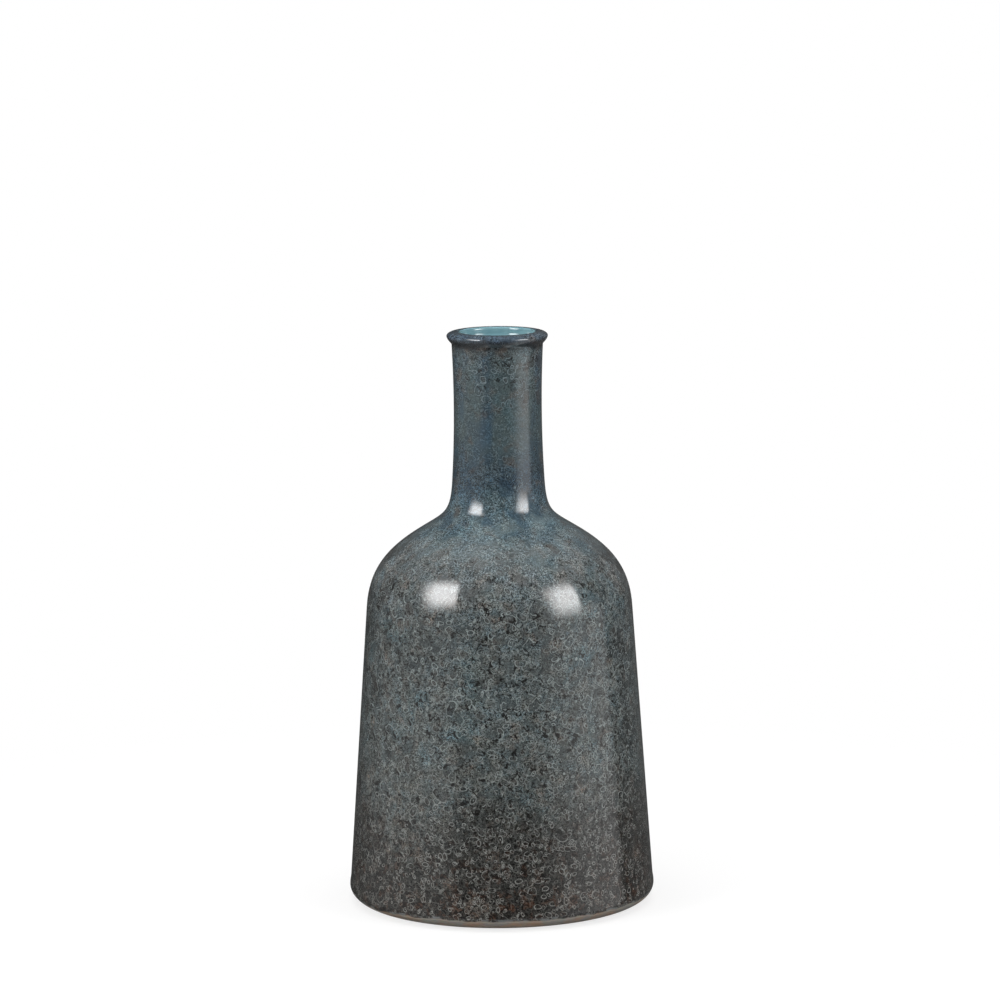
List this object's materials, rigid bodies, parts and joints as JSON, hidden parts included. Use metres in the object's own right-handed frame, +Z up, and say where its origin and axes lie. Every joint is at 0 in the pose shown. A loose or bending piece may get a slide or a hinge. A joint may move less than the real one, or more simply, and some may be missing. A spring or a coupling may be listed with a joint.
{
  "type": "bottle vase",
  "caption": "Bottle vase for cut stems: tapering round belly, domed shoulder, tall neck and flared lip, with a mottled blue-grey cell glaze outside and a teal lining.",
  "frame": {"origin": "centre of the foot ring, on the surface the vase stands on", "axes": "+Z up along the axis of turning; the vase is round, so X and Y are free"},
  "size_m": [0.1866, 0.1866, 0.35],
  "materials": {
    "foot_clay": "wiped smooth, thin glaze stain",
    "fired_clay": "bare fired clay, matte",
    "fired_slip": "bare fired slip, matte",
    "outer_glaze": "glossy, mottled cells on blue-grey",
    "inner_glaze": "glossy, even teal"
  },
  "bodies": {
    "root": {"base_slab": "foot_clay", "belly_wall": "fired_clay", "shoulder_dome": "fired_clay", "neck_tube": "fired_clay", "lip_roll": "fired_clay", "foot_seam_slip": "fired_slip", "shoulder_seam_slip": "fired_slip", "neck_seam_slip": "fired_slip", "lip_seam_slip": "fired_slip", "outer_glaze": "outer_glaze", "inner_glaze": "inner_glaze"}
  },
  "joints": []
}
